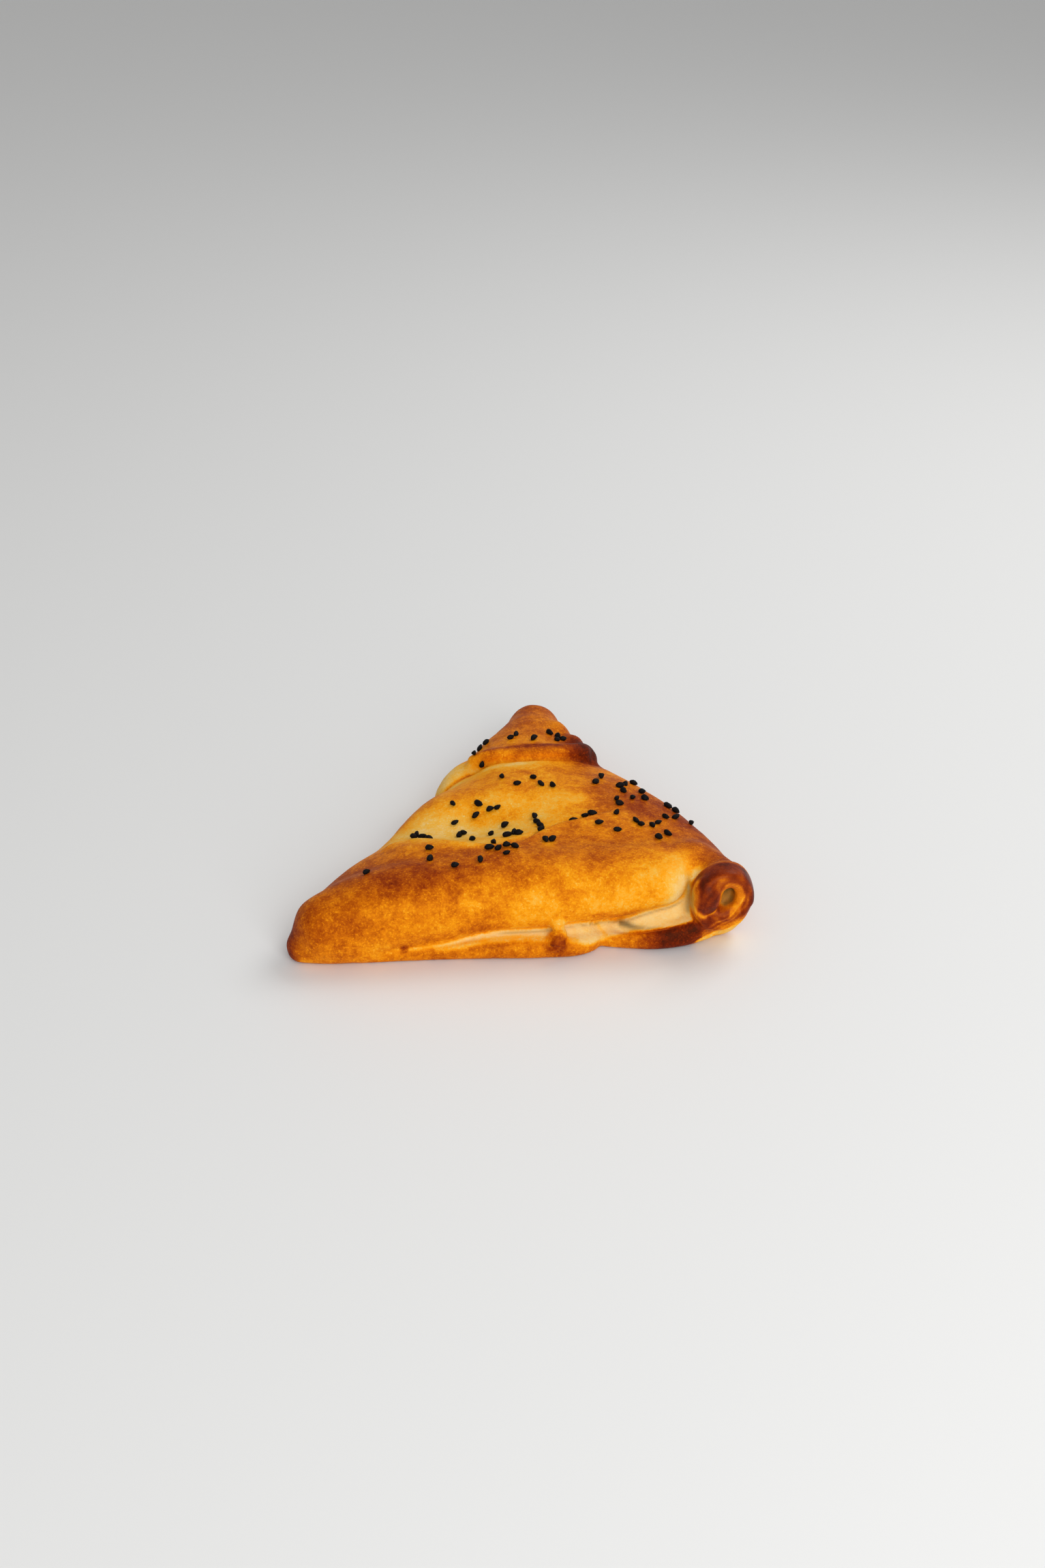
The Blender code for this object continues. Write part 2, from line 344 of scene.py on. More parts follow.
# %% Hat and brim
HAT = ((11, 20.4, 14.8, 24, 13), (12, 26, 14.7, 25, 13.8), (13, 37, 13.7, 22.8, 13.3), (15.4, 51, 12.8, 16.4, 12.5),
       (17.4, 62, 12, 12.2, 11.8), (19, 78.8, 11.4, 9.6, 10.2))
HAT_BRIM = ((-12, 27.4, 20.4, 3, 3), (-5, 26, 23.6, 3.6, 3.7), (8, 24.7, 24.8, 4, 4), (20, 24.7, 24.8, 4.2, 4.2),
            (29.5, 26.2, 23.4, 4.8, 5), (35.2, 28.6, 20.6, 4.8, 6))
dough.append(skin("hat", roll_surface(HAT, power=2.0, ends=(0.12, 1.0))))
dough.append(skin("hat_brim", roll_surface(HAT_BRIM)))
print("pieces of dough:", len(dough))

# %% [markdown]
# ## Melting the folds into one skin
#
# Baked dough has no gaps where its folds touch.  A voxel remesh keeps only the outer skin of all the
# overlapping pieces, at a grain fine enough for the thin lips, and a few smoothing passes soften the
# joins into creases.

# %% One skin
GRAIN = 0.68
SMOOTHING = 4


def joined(name, pieces):
    """Joins mesh objects into one new mesh object of that name and removes the pieces."""
    shell = bmesh.new()
    for piece in pieces:
        shell.from_mesh(piece.data)
        bpy.data.objects.remove(piece)
    mesh = bpy.data.meshes.new(name)
    shell.to_mesh(mesh)
    shell.free()
    whole = bpy.data.objects.new(name, mesh)
    bpy.context.scene.collection.objects.link(whole)
    return whole


pastry = joined("pastry_crust", dough)
remesh = pastry.modifiers.new("melt", "REMESH")
remesh.mode = "VOXEL"
remesh.voxel_size = GRAIN * MM
soften = pastry.modifiers.new("soften", "SMOOTH")
soften.iterations = SMOOTHING
bpy.context.view_layer.update()
melted = bpy.data.meshes.new_from_object(pastry.evaluated_get(bpy.context.evaluated_depsgraph_get()))
pastry.modifiers.clear()
pastry.data = melted
print("skin:", len(melted.polygons), "faces")


# %% Cut the base flat
def cut_flat(mesh, height):
    """Cuts everything below the height away and closes the cut with one face."""
    shell = bmesh.new()
    shell.from_mesh(mesh)
    everything = shell.verts[:] + shell.edges[:] + shell.faces[:]
    bmesh.ops.bisect_plane(shell, geom=everything, dist=0.02 * MM, plane_co=(0, 0, height), plane_no=(0, 0, 1),
                           clear_inner=True)
    bmesh.ops.holes_fill(shell, edges=[edge for edge in shell.edges if edge.is_boundary])
    bmesh.ops.triangulate(shell, faces=[face for face in shell.faces if len(face.verts) > 4])
    shell.to_mesh(mesh)
    shell.free()


cut_flat(pastry.data, BASE_MIDDLE[2])
pastry.data.shade_smooth()
print("after the cut:", len(pastry.data.polygons), "faces")


# %% Read and write a mesh as arrays
def read_points(mesh):
    """Vertex places in design millimetres and unit normals, as two arrays."""
    places, normals = np.empty(3 * len(mesh.vertices)), np.empty(3 * len(mesh.vertices))
    mesh.vertices.foreach_get("co", places)
    mesh.vertex_normals.foreach_get("vector", normals)
    return (places.reshape(-1, 3) - BASE_MIDDLE) / MM, normals.reshape(-1, 3)


def write_points(mesh, places):
    mesh.vertices.foreach_set("co", (places * MM + BASE_MIDDLE).ravel())
    mesh.update()


def read_edges(mesh):
    ends = np.empty(2 * len(mesh.edges), dtype=np.int64)
    mesh.edges.foreach_get("vertices", ends)
    return ends.reshape(-1, 2)


# %% Soften by place
def softened(values, ends, amount, rounds):
    """Each round moves every row of values by its amount (0 to 1) towards the mean of its neighbours."""
    count = len(values)
    start, stop = ends.T
    neighbours = np.bincount(start, minlength=count) + np.bincount(stop, minlength=count)
    for _ in range(rounds):
        total = np.stack([np.bincount(start, values[stop, axis], count) + np.bincount(stop, values[start, axis], count)
                          for axis in range(values.shape[1])], axis=-1)
        values = values + amount[:, None] * (total / neighbours[:, None] - values)
    return values


def evened(places, ends, amount, rounds):
    """Softened places plus the softened loss, so that creases go while the broad shape keeps its size."""
    soft = softened(places, ends, amount, rounds)
    return soft + softened(places - soft, ends, amount, rounds)


places, normals = read_points(pastry.data)
edges = read_edges(pastry.data)
x, y, z = places.T
on_top = soft_step(0.0, 0.4, normals[:, 2]) * soft_step(10, 18, z)
hat_front = 20.6 + 0.012 * (x - 12) ** 2
brim = soft_step(-20, -12, x) * np.exp(-(((y - hat_front) / 5) ** 2))
hat_right = soft_step(18, 26, x) * soft_step(20, 26, y)
scroll = soft_step(54, 60, x) * soft_step(-60, -66, y)
left_tip = soft_step(-46, -60, x) * soft_step(1.5, 4, z)
broad = np.maximum(on_top, left_tip) * (1 - 0.97 * np.maximum(brim, 0.8 * hat_right)) * (1 - scroll)
places = evened(places, edges, np.clip(broad, 0, 1), 70)
write_points(pastry.data, places)
print("evened", int((broad > 0.5).sum()), "points on the top")

# %% [markdown]
# ## Folds, dents and the unevenness of dough
#
# The folds of the sheet show on top as low steps and valleys, and at the scroll as lines that run
# round it.  Each is a smooth path; how far a point is from the path, and on which side, says how far
# the skin is pushed in or out there.  Because only distances are used, a fold can be moved by moving
# its path.


# %% Distance to a path
def beside(points, path, count=48):
    """For points and a path in one plane: the distance to the nearest place on the path, negative on
    its right-hand side, and the share of the path's length where that place lies."""
    line = curve_through(np.asarray(path, float), count)
    start, span = line[:-1], np.diff(line, axis=0)
    nearest = np.full(len(points), np.inf)
    side, share = np.zeros(len(points)), np.zeros(len(points))
    for index, (origin, step) in enumerate(zip(start, span)):
        offset = points - origin
        t = np.clip(offset @ step / (step @ step), 0, 1)
        away = offset - t[:, None] * step
        distance = np.hypot(*away.T)
        closer = distance < nearest
        nearest[closer] = distance[closer]
        side[closer] = np.sign(step[0] * away[closer, 1] - step[1] * away[closer, 0])
        share[closer] = (index + t[closer]) / len(span)
    return nearest * side, share


def fading(share, start=0.15, end=0.85):
    """1 along the middle of a path, easing to 0 at both of its ends."""
    return soft_step(0, start, share) * soft_step(1, end, share)


# %% Smooth random unevenness
RANDOM_GRID = np.random.default_rng(7).random((24, 24, 24)) * 2 - 1


def lumps(points, size):
    """Random values -1 to 1 on a cubic lattice of the given cell size, blended by 3t^2 - 2t^3."""
    cell = points / size + 100
    low = np.floor(cell).astype(int)
    t = cell - low
    t = t * t * (3 - 2 * t)
    total = np.zeros(len(points))
    for corner in np.ndindex(2, 2, 2):
        weight = np.prod(np.where(corner, t, 1 - t), axis=1)
        total += weight * RANDOM_GRID[tuple(((low + corner) % 24).T)]
    return total


print("lattice values from", round(RANDOM_GRID.min(), 2), "to", round(RANDOM_GRID.max(), 2))

# %% Folds on top
FLAP_EDGE = ((-2, -47), (4, -43), (11.5, -36), (19.5, -32.3), (25, -31.4), (31, -28.6), (38.5, -25.6), (47, -22))
VALLEY_EDGE = ((-52, -38), (-45, -32), (-38, -30.5), (-27, -36.5), (-21, -41), (-14.5, -44), (-8.5, -46), (-2, -46),
               (4, -43.5))
BRIM_EDGE = ((-14, 23), (-9, 22.2), (-3, 21.8), (8, 20.4), (20, 20.6), (29, 21.4), (36, 22.8), (40, 25.4))
RIGHT_CREASE = ((61, -60), (60.5, -55), (62, -49), (66, -43))

places, normals = read_points(pastry.data)
flat = places[:, :2]
upward = soft_step(0.2, 0.7, normals[:, 2])
push = np.zeros(len(places))

distance, share = beside(flat, FLAP_EDGE)
push += upward * fading(share, 0.2, 0.55) * np.where(distance < 0, 1.3 * np.exp(distance / 6), 0.0) * soft_step(0.4, -0.6, distance)
push -= upward * fading(share, 0.2, 0.6) * 0.5 * bell(distance, 1.2, 1.6)
distance, share = beside(flat, VALLEY_EDGE)
push += upward * fading(share) * 1.1 * np.exp(-np.abs(distance + 2.2) / 5) * soft_step(0.8, -1.6, distance)
push -= upward * 2.3 * np.exp(-(((places[:, 0] + 20) / 24) ** 2) - ((places[:, 1] + 31) / 9) ** 2)
distance, share = beside(flat, BRIM_EDGE)
push -= upward * fading(share, 0.1, 0.9) * 1.3 * bell(distance, -0.4, 1.1)
EAR_EDGE = ((-27.6, 9), (-22.8, 13.2), (-17.9, 17), (-13.4, 19.6), (-8.6, 21.7))
distance, share = beside(flat, EAR_EDGE)
ear_line = soft_step(-0.1, 0.3, normals[:, 2]) * fading(share, 0.2, 0.9) * bell(distance, 0, 1.1)
push -= 0.5 * ear_line
print("top folds push", round(push.min(), 2), "to", round(push.max(), 2), "mm")

# %% Lines of the scroll and the seam
# The seam is looked at along a slope: x, and z plus LEAN times the way behind y = -72.
LEAN = 0.588
ROLL_FOOT = ((-46, 4.2), (-36, 4.6), (-27, 5.6), (-21, 7.2), (-11.6, 9.2), (-2, 9.5), (8, 9.6), (17, 10.8),
             (25, 11.2), (32, 11.2), (36, 11.4), (42, 13.5), (47.5, 15.3), (54, 17.1), (58, 20), (59.5, 25))
POCKET_FOOT = ((30, 11), (31.4, 9.4), (35, 8.2), (40, 7.8), (46, 8.2), (54, 9.2), (60, 11))
SCROLL_SKIN = ((60.5, 3.2), (65.5, 5.4), (71, 7.8), (76, 10), (79.6, 13), (81.2, 17))
LAYER_LINES = (((64, 7.2), (71, 10), (76, 13), (79.4, 17.5), (80, 22)), ((66, 9.4), (72, 12.4), (76.4, 16), (78.2, 20.6)))


def leaning(points):
    return np.stack([points[:, 0], points[:, 2] + LEAN * (points[:, 1] + 72)], axis=-1)


face, slope = places[:, [0, 2]], leaning(places)
in_front = soft_step(55, 59, places[:, 0]) * soft_step(-64, -67, places[:, 1]) * soft_step(0.35, -0.1, normals[:, 1])
for path, deep, wide in ((SCROLL_SKIN, 0.8, 0.8), (LAYER_LINES[0], 0.35, 0.5), (LAYER_LINES[1], 0.35, 0.5)):
    distance, share = beside(face, path)
    push -= in_front * fading(share, 0.06, 0.94) * deep * bell(distance, 0, wide)
at_front = soft_step(-61, -65, places[:, 1]) * soft_step(0.6, 0.2, normals[:, 1])
for path, deep, wide, start, end in ((ROLL_FOOT, 1.5, 0.9, 0.3, 0.85), (POCKET_FOOT, 1.6, 0.9, 0.05, 0.6)):
    distance, share = beside(slope, path)
    push -= at_front * fading(share, start, end) * deep * bell(distance, 0, wide)
push -= 3.4 * np.exp(-(((places - [34.2, -69, 9.8]) / [3.2, 4, 1.5]) ** 2).sum(axis=1))
print("seam and scroll lines cut to", round(push.min(), 2), "mm")

# %% Unevenness everywhere
NUB = (11.4, -77.2, 7.2)      # middle of the burnt nub under the pinch
off_base = soft_step(0.6, 3, places[:, 2])
uneven = 0.35 * lumps(places, 17) + 0.2 * lumps(places, 8) + 0.08 * lumps(places, 3.2)
nub = np.exp(-(((places - NUB) / [4, 4.4, 5.6]) ** 2).sum(axis=1) ** 2)
push += off_base * (uneven + nub * 0.8 * lumps(places, 1.5))
places = places + normals * push[:, None]
in_folds = np.maximum(in_front, at_front) * (1 - nub)
places = softened(places, edges, 0.5 * in_folds, 4)
places[:, 2] = np.where(places[:, 2] < 0.05, 0.0, places[:, 2])
write_points(pastry.data, places)
print("uneven by", round(float(uneven.std()), 2), "mm")

# %% [markdown]
# ## Browning
#
# The oven browns what stands up and out, and leaves the folds pale: dark on the scroll and on the right
# end of the brim, golden on the roll's front, cream inside the seam.  Browning is one number at each
# point, 0 for pale dough to 1 for nearly black, painted with soft round patches: each patch pulls the
# number towards its own value near its middle.

# %% Patches of browning
# Middle x, y, z, radii x, y, z, browning, strength.
PATCHES = (
    # the back and the sides
    (0, 40, 8, 60, 50, 12, 0.5, 0.6), (-50, -20, 8, 40, 30, 8, 0.5, 0.6), (70, -20, 10, 25, 45, 10, 0.56, 0.8),
    # the front roll, left to right
    (-70, -60, 14, 18, 16, 12, 0.59, 0.9), (-83, -66, 10, 7, 13, 10, 0.84, 0.95), (-80.5, -75, 4, 4, 4, 3, 0.8, 0.7), (-76, -77, 1.6, 3.4, 4, 2, 0.14, 0.9),
    (-62, -52, 20, 12, 8, 8, 0.62, 0.9), (-44, -58, 25, 14, 8, 8, 0.72, 0.9), (-26, -58, 29, 16, 9, 8, 0.62, 0.95),
    (-8, -56, 30, 14, 8, 8, 0.56, 0.9), (8, -50, 30, 14, 8, 8, 0.52, 0.9), (28, -46, 30, 16, 8, 8, 0.49, 0.9),
    (46, -44, 30, 12, 8, 8, 0.54, 0.8), (-62, -76, 8, 16, 8, 6, 0.4, 0.85), (-36, -76, 12, 14, 7, 6, 0.45, 0.85),
    (-16, -75, 18, 12, 6, 5, 0.38, 0.8), (2, -74, 20, 16, 7, 6, 0.3, 0.85), (24, -74, 22, 10, 7, 6, 0.32, 0.8),
    (42, -70, 24, 12, 10, 8, 0.28, 0.85), (56, -62, 28, 8, 12, 8, 0.2, 0.9), (-10, -76, 11, 12, 5, 3, 0.5, 0.8),
    (30, -74, 13, 10, 5, 3.5, 0.54, 0.8), (-24, -74, 10, 10, 4, 3, 0.52, 0.7),
    # the valley and the upper panel
    (-34, -26, 24, 13, 9, 9, 0.16, 0.95), (-16, -28, 24, 15, 11, 9, 0.1, 0.95), (1, -31, 25, 11, 8, 9, 0.12, 0.9),
    (13, -21, 26, 9, 6, 9, 0.2, 0.8), (-7, -21, 25, 8, 3.5, 9, 0.38, 0.8), (0, -6, 27, 26, 9, 9, 0.3, 0.8),
    (-14, 2, 25, 12, 6, 9, 0.42, 0.8), (11, -4, 27, 12, 4, 9, 0.42, 0.8), (26, 3, 27, 10, 8, 9, 0.41, 0.8),
    (21, -15, 27, 8, 4, 9, 0.18, 0.85), (0, -13, 27, 7, 4, 9, 0.2, 0.7), (4, 14, 27, 14, 4, 6, 0.26, 0.8),
    # the right shoulder
    (42, -12, 28, 10, 12, 9, 0.62, 0.9), (54, -20, 27, 12, 10, 9, 0.69, 0.9), (66, -36, 22, 9, 16, 9, 0.74, 0.9),
    (34, 10, 26, 10, 8, 9, 0.52, 0.8), (62, -44, 27, 7, 8, 8, 0.56, 0.8),
    # the hat
    (16, 60, 18, 18, 24, 12, 0.6, 0.9), (19, 76, 16, 12, 10, 10, 0.64, 0.9), (4, 36, 26, 14, 6, 8, 0.46, 0.85),
    (8, 24, 28, 24, 3.2, 6, 0.52, 0.95), (12, 26.3, 28, 15, 1.3, 6, 0.76, 0.9), (6, 20.2, 26, 16, 1.2, 4, 0.34, 0.85), (27, 50, 20, 5, 9, 8, 0.44, 0.7),
    (32, 38, 22, 7, 7, 8, 0.68, 0.95), (34.6, 29, 22, 8, 7.6, 11, 1.0, 1.0), (25.4, 26.6, 26, 4.5, 2.6, 6, 0.76, 0.8),
    (-17, 24, 14, 9, 17, 9, 0.03, 0.95), (-14, 34, 15, 5, 5, 5, 0.4, 0.8), (0, 17, 28, 13, 2.2, 6, 0.06, 0.9),
    # closer looks: brown on the shoulder and the roll's top, gold in front, pale at the roll's end
    (-39, -66, 28.5, 10, 6, 6, 0.74, 0.8), (-70, -73, 18, 10, 6, 8, 0.62, 0.85), (-58, -66, 25, 10, 7, 6, 0.62, 0.7),
    (50, -52, 31, 12, 6, 6, 0.56, 0.9), (32, -60, 31, 12, 5, 5, 0.49, 0.85), (70, -58, 28, 7, 9, 7, 0.68, 0.9),
    (55, -70, 21, 5, 5, 6, 0.0, 0.9), (-14, -43, 29, 7, 4, 4, 0.14, 0.9), (-16, -75, 19.5, 12, 5, 4, 0.46, 0.8),
)


def browning_at(points):
    """Starts at 0.45 everywhere; each patch mixes in its value with strength times exp(-distance^2 / 2),
    where distance is measured in the patch's own radii."""
    brown = np.full(len(points), 0.45)
    for patch in PATCHES:
        middle, radii, value, strength = np.array(patch[:3]), np.array(patch[3:6]), patch[6], patch[7]
        share = strength * np.exp(-0.5 * (((points - middle) / radii) ** 2).sum(axis=1) ** 1.5)
        brown += share * (value - brown)
    return brown


places, normals = read_points(pastry.data)
brown = browning_at(places)
print("browning from", round(brown.min(), 2), "to", round(brown.max(), 2))

# %% Browning of the seam and the lips
# Along the seam's slope: the crest of the front lip and the top edge of the dark lip.
LIP_CREST = ((-46, 3), (-36, 3.9), (-27.5, 4.9), (-16.6, 6.9), (-7, 7.6), (3, 7.5), (7.5, 7.1), (16, 6.2), (22, 5.6), (29, 6.4))
DARK_EDGE = ((28, 5.2), (33.5, 6.3), (39.3, 7.2), (47.1, 7.6), (53.9, 8.7), (60.2, 10.6), (65, 11.6))
slope = leaning(places)
at_front = soft_step(-62, -66, places[:, 1]) * soft_step(0.6, 0.2, normals[:, 1])
right_end = soft_step(28, 31, slope[:, 0] + 0.6 * (slope[:, 1] - 6))
above, share = beside(slope, LIP_CREST)
foot, foot_share = beside(slope, ROLL_FOOT)
lip = at_front * (1 - right_end) * soft_step(1.1, 0.3, foot) * soft_step(0, 0.1, share)
strip_start = soft_step(-38, -24, slope[:, 0])
lip_brown = 0.03 + 0.2 * soft_step(0.9, -0.8, above) + 0.26 * strip_start * soft_step(-1.2, -3.2, above)
lip_brown += (1 - strip_start) * 0.22 - 0.3 * bell(slope[:, 0], 23, 4.5) * soft_step(-4.5, -2, above)
brown = brown + lip * (np.clip(lip_brown, 0.04, 1) - brown)
dark_above, _ = beside(slope, DARK_EDGE)
pocket = at_front * right_end * soft_step(66, 62, slope[:, 0]) * soft_step(1.1, 0.3, foot)
brown = brown + pocket * (0.05 - brown)
dark_lip = pocket * soft_step(0.15, -0.35, dark_above)
dark_lip_brown = 0.28 + 0.22 * soft_step(-0.2, -1.4, dark_above) + 0.42 * soft_step(37, 54, slope[:, 0])
brown = brown + dark_lip * (dark_lip_brown - brown)
tab = np.exp(-(((places - [12.6, -74, 13]) / [3.2, 5, 2.6]) ** 2).sum(axis=1) ** 2)
brown = brown + tab * (0.1 + 0.2 * soft_step(12.5, 10, places[:, 0]) - brown)
under_roll = at_front * bell(foot, 1.4, 0.9) * soft_step(-40, -24, slope[:, 0]) * soft_step(66, 62, slope[:, 0])
brown = brown + 0.6 * under_roll * (0.26 - brown)
spot = at_front * np.exp(-(((places - [-42.3, -76, 6.2]) / [1.7, 5, 1.7]) ** 2).sum(axis=1) ** 2)
brown = brown + spot * (0.8 - brown)
nub_brown = 0.74 + 0.12 * lumps(places, 1.4)
brown = brown + nub * (nub_brown - brown)
brown = brown + 0.8 * ear_line * (0.55 - brown)
print("browned lip points:", int((dark_lip > 0.5).sum()))

# %% Painted shadow deep in the folds
# Painted shadow: the pale dough is darkened to olive grey where the folds are deepest, under the roll and in the
# pocket.
POCKET_PAINTED_SHADOW = ((32, 11), (36, 10.4), (40, 8.6), (44.5, 8.1), (54, 8.6))
# Painted shadow along the foot of the roll, in the crease under it.
under_foot = soft_step(-12, -4, slope[:, 0]) * soft_step(11, 9.5, slope[:, 0]) + soft_step(14, 17, slope[:, 0])
painted_fold_shadow = 0.45 * at_front * bell(foot, -0.35, 0.5) * under_foot * soft_step(60, 54, slope[:, 0])
# A painted shadow wedge at the pocket's left end, thinning towards the right.
from_pocket, pocket_share = beside(slope, POCKET_PAINTED_SHADOW)
taper = soft_step(48, 36, slope[:, 0])
pocket_painted_shadow = bell(from_pocket, 0, 0.45 + 1.05 * taper) * (0.35 + 0.5 * taper) * soft_step(33.6, 35.2, slope[:, 0])
pocket_painted_shadow *= soft_step(52, 46, slope[:, 0])
painted_fold_shadow = np.maximum(painted_fold_shadow, at_front * (1 - dark_lip) * pocket_painted_shadow)
# Painted shadow in the crease between the roll's end and the scroll's left wall.
painted_shadow_beside_scroll = at_front * bell(places[:, 0], 59, 1) * soft_step(11, 13, places[:, 2]) * soft_step(27, 22, places[:, 2])
painted_fold_shadow = np.maximum(painted_fold_shadow, 0.5 * painted_shadow_beside_scroll)
print("shaded points:", int((painted_fold_shadow > 0.3).sum()))

# %% Browning of the scroll
SCROLL_INNER = ((70.2, 12.4), (69, 16), (68.4, 20), (69.2, 24.6), (72, 27.6), (75.6, 26.6), (78, 21.6), (77.4, 16),
                (74, 11.4), (69, 8.2))
face = places[:, [0, 2]]
around_scroll = np.hypot((face[:, 0] - 70.7) / 11.6, (face[:, 1] - 18.9) / 13)
at_side = soft_step(73, 78, places[:, 0]) * soft_step(25, 19, places[:, 2])
on_scroll = soft_step(-66 + 7 * at_side, -68 + 2 * at_side, places[:, 1])
on_scroll *= soft_step(8, 11, places[:, 2] + 0.4 * (70 - places[:, 0]))
on_scroll *= soft_step(1.12, 1.04, around_scroll) * soft_step(59, 60.2, places[:, 0])
inner, inner_share = beside(face, SCROLL_INNER)
inside = soft_step(-0.4, 0.5, -inner) * soft_step(0.02, 0.1, inner_share) * soft_step(1, 0.9, inner_share)
inside *= soft_step(1.0, 0.9, np.hypot((face[:, 0] - 72.6) / 5.9, (face[:, 1] - 20.4) / 8.8))
tongue = np.hypot((face[:, 0] - 64.5) / 5.4, (face[:, 1] - 21.8) / 7.6)
round_it = np.arctan2(face[:, 1] - 18.9, face[:, 0] - 70.7)
streaks = lumps(np.stack([12 * around_scroll, 2.2 * round_it, places[:, 1] / 4], axis=-1), 0.9)
ring_brown = 0.73 + 0.14 * lumps(places + 3, 4) + 0.12 * streaks + 0.1 * soft_step(0.88, 0.98, around_scroll) - 0.24 * inside
ring_brown -= 0.08 * soft_step(66, 69, face[:, 0]) * soft_step(1.1, 0.8, tongue)
ring_brown += 0.16 * soft_step(0.9, 0.6, tongue) + 0.1 * soft_step(76.5, 79, face[:, 0])
ring_brown -= 0.4 * bell(tongue, 0.97, 0.11) * soft_step(22, 16, places[:, 2])
left_wall = soft_step(62.5, 60.5, face[:, 0]) * soft_step(-0.4, -0.8, normals[:, 0])
ring_brown -= 0.35 * left_wall
layers = np.maximum(bell(beside(face, LAYER_LINES[0])[0], 0.5, 0.4), bell(beside(face, LAYER_LINES[1])[0], 0.5, 0.4))
ring_brown -= 0.22 * layers * soft_step(24, 20, places[:, 2])
hollow_reach = np.hypot((face[:, 0] - 71.9) / 2.7, (face[:, 1] - 20.4) / 4.1)
hollow = soft_step(-73.4, -71.5, places[:, 1]) * soft_step(-62, -65, places[:, 1])
hollow *= soft_step(1.25, 0.95, hollow_reach)
ring_brown = ring_brown + hollow * (0.4 - ring_brown)
below = beside(face, SCROLL_SKIN)[0]
underside = soft_step(0.3, -0.6, below) * soft_step(59, 63, places[:, 0]) * soft_step(-62, -70, places[:, 1])
underside *= soft_step(12.5, 7.5, places[:, 2] - 0.3 * (places[:, 0] - 74))
brown = brown + on_scroll * (ring_brown - brown)
brown = brown + underside * (0.14 + 0.2 * lumps(places, 2.2) ** 2 - brown)
print("scroll points:", int((on_scroll > 0.5).sum()))


# %% Write the browning to the skin
def write_value(mesh, name, values):
    """A named number at each point, for the material to read."""
    layer = mesh.attributes.new(name, "FLOAT", "POINT")
    layer.data.foreach_set("value", np.ascontiguousarray(values, dtype=np.float32))


gloss = on_scroll * 0.8
write_value(pastry.data, "browning", np.clip(brown, 0, 1))
write_value(pastry.data, "gloss", np.clip(gloss, 0, 1))
# Painted shadow in the scroll's hollow, darker towards its top.
hollow_painted_shadow = 0.72 + 0.22 * soft_step(19.5, 22.5, places[:, 2]) + 0.2 * lumps(places, 2)
painted_fold_shadow = np.maximum(painted_fold_shadow, hollow * np.clip(hollow_painted_shadow, 0.4, 0.97))
write_value(pastry.data, "painted_fold_shadow", np.clip(painted_fold_shadow, 0, 1))
print("written:", [layer.name for layer in pastry.data.attributes if layer.name in ("browning", "gloss", "painted_fold_shadow")])

# %% [markdown]
# ## The crust's material
#
# Browning chooses the colour along a ramp from cream to nearly black.  Over it lie clouds a few
# millimetres wide, pale blister flecks under a millimetre, and fine dark specks; the same flecks raise
# the surface a little, so that they catch the light as tiny blisters do.  Last, a painted shadow mixes a
# dark olive over the colour in the deepest folds and in the scroll's hollow.


# %% Node helpers
def node(tree, kind, values=None, **settings):
    """Adds a node, sets its properties and its unlinked inputs."""
    made = tree.nodes.new(kind)
    for key, value in settings.items():
        setattr(made, key, value)
    for key, value in (values or {}).items():
        made.inputs[key].default_value = value
    return made


def maths(tree, operation, first, second, clamp=False):
    """A Math node; each operand is a number or a socket."""
    made = node(tree, "ShaderNodeMath", operation=operation, use_clamp=clamp)
    for slot, operand in enumerate((first, second)):
        if isinstance(operand, (int, float)):
            made.inputs[slot].default_value = operand
        else:
            tree.links.new(operand, made.inputs[slot])
    return made.outputs[0]


def spread(tree, value, low, high):
    """0 below low to 1 above high, eased."""
    made = node(tree, "ShaderNodeMapRange", {"From Min": low, "From Max": high}, interpolation_type="SMOOTHSTEP")
    tree.links.new(value, made.inputs["Value"])
    return made.outputs["Result"]


def noise(tree, where, size, detail=2.0, roughness=0.5):
    """Noise whose cells are about the given size in design millimetres."""
    made = node(tree, "ShaderNodeTexNoise", {"Scale": 1 / (size * MM), "Detail": detail, "Roughness": roughness})
    tree.links.new(where, made.inputs["Vector"])
    return made.outputs["Fac"]


# %% Crust colours
CRUST_COLOURS = (
    (0.00, (0.85, 0.61, 0.24)), (0.15, (0.86, 0.46, 0.06)), (0.30, (0.90, 0.34, 0.006)), (0.44, (0.72, 0.20, 0.003)),
    (0.58, (0.47, 0.095, 0.002)), (0.72, (0.28, 0.036, 0.002)), (0.86, (0.15, 0.014, 0.002)), (1.00, (0.06, 0.008, 0.003)),
)
crust = bpy.data.materials.new("baked_crust")
crust.use_nodes = True
tree = crust.node_tree
link = tree.links.new
shader = tree.nodes["Principled BSDF"]
where = node(tree, "ShaderNodeTexCoord").outputs["Object"]
browning = node(tree, "ShaderNodeAttribute", attribute_name="browning").outputs["Fac"]
glossy = node(tree, "ShaderNodeAttribute", attribute_name="gloss").outputs["Fac"]
clouds = noise(tree, where, 9, 3)
mottle = noise(tree, where, 2.4, 3, 0.6)
grain = noise(tree, where, 0.75, 2, 0.6)
flecks = spread(tree, noise(tree, where, 0.85, 2.0, 0.6), 0.55, 0.68)
specks = spread(tree, noise(tree, where, 1.6, 4, 0.75), 0.70, 0.76)
shift = maths(tree, "MULTIPLY", maths(tree, "SUBTRACT", clouds, 0.5), 0.45)
shift = maths(tree, "ADD", shift, maths(tree, "MULTIPLY", maths(tree, "SUBTRACT", mottle, 0.5), 0.38))
shift = maths(tree, "ADD", shift, maths(tree, "MULTIPLY", maths(tree, "SUBTRACT", grain, 0.5), 0.28))
shift = maths(tree, "SUBTRACT", shift, maths(tree, "MULTIPLY", flecks, 0.12))
shift = maths(tree, "ADD", shift, maths(tree, "MULTIPLY", specks, 0.3))
